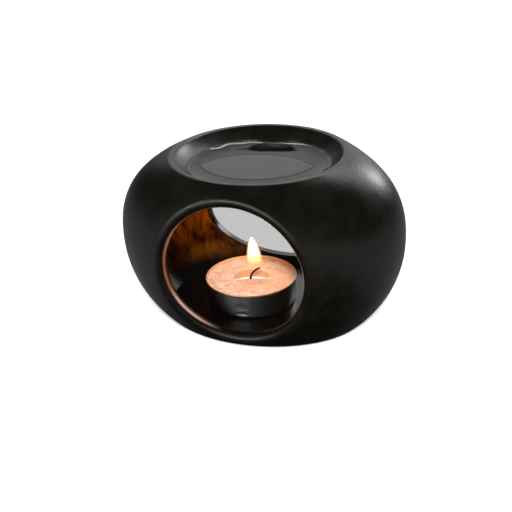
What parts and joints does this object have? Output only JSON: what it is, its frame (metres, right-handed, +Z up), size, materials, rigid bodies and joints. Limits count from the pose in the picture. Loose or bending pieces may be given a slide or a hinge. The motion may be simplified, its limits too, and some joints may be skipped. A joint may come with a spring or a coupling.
{
  "type": "essential oil burner",
  "caption": "Pebble-shaped matt black stoneware oil burner: a dish of scented water over a tealight chamber with a round mouth in front and an oval vent behind.",
  "frame": {"origin": "on the table, under the middle of the burner's width and depth", "axes": "+Z up, -Y out of the round candle mouth, +X to the right of someone who looks into that mouth"},
  "size_m": [0.117, 0.0822, 0.0707],
  "materials": {
    "black_stoneware": "satin black glaze, glossier inside",
    "water": "clear water with a trace of oil",
    "aluminium": "bare pressed sheet, dulled by use",
    "paraffin_wax": "peach wax, soft sheen",
    "molten_wax": "clear molten wax, wet gloss",
    "cotton_wick": "braided cotton, charred at the tip",
    "tinplate": "stamped tinplate",
    "felt": "black pressed felt"
  },
  "bodies": {
    "burner": {"burner_body": "black_stoneware", "scented_water": "water", "foot_pad_front_left": "felt", "foot_pad_front_right": "felt", "foot_pad_rear_left": "felt", "foot_pad_rear_right": "felt"},
    "tealight": {"tealight_cup": "aluminium", "tealight_wax": "paraffin_wax", "melted_wax": "molten_wax", "wick": "cotton_wick", "wick_tab": "tinplate"}
  },
  "joints": [
    {"name": "tealight_slide", "type": "slide", "parent": "burner", "child": "tealight", "axis": [0.1818, -0.9092, 0.3746], "range_m": [0, 0.067]}
  ]
}
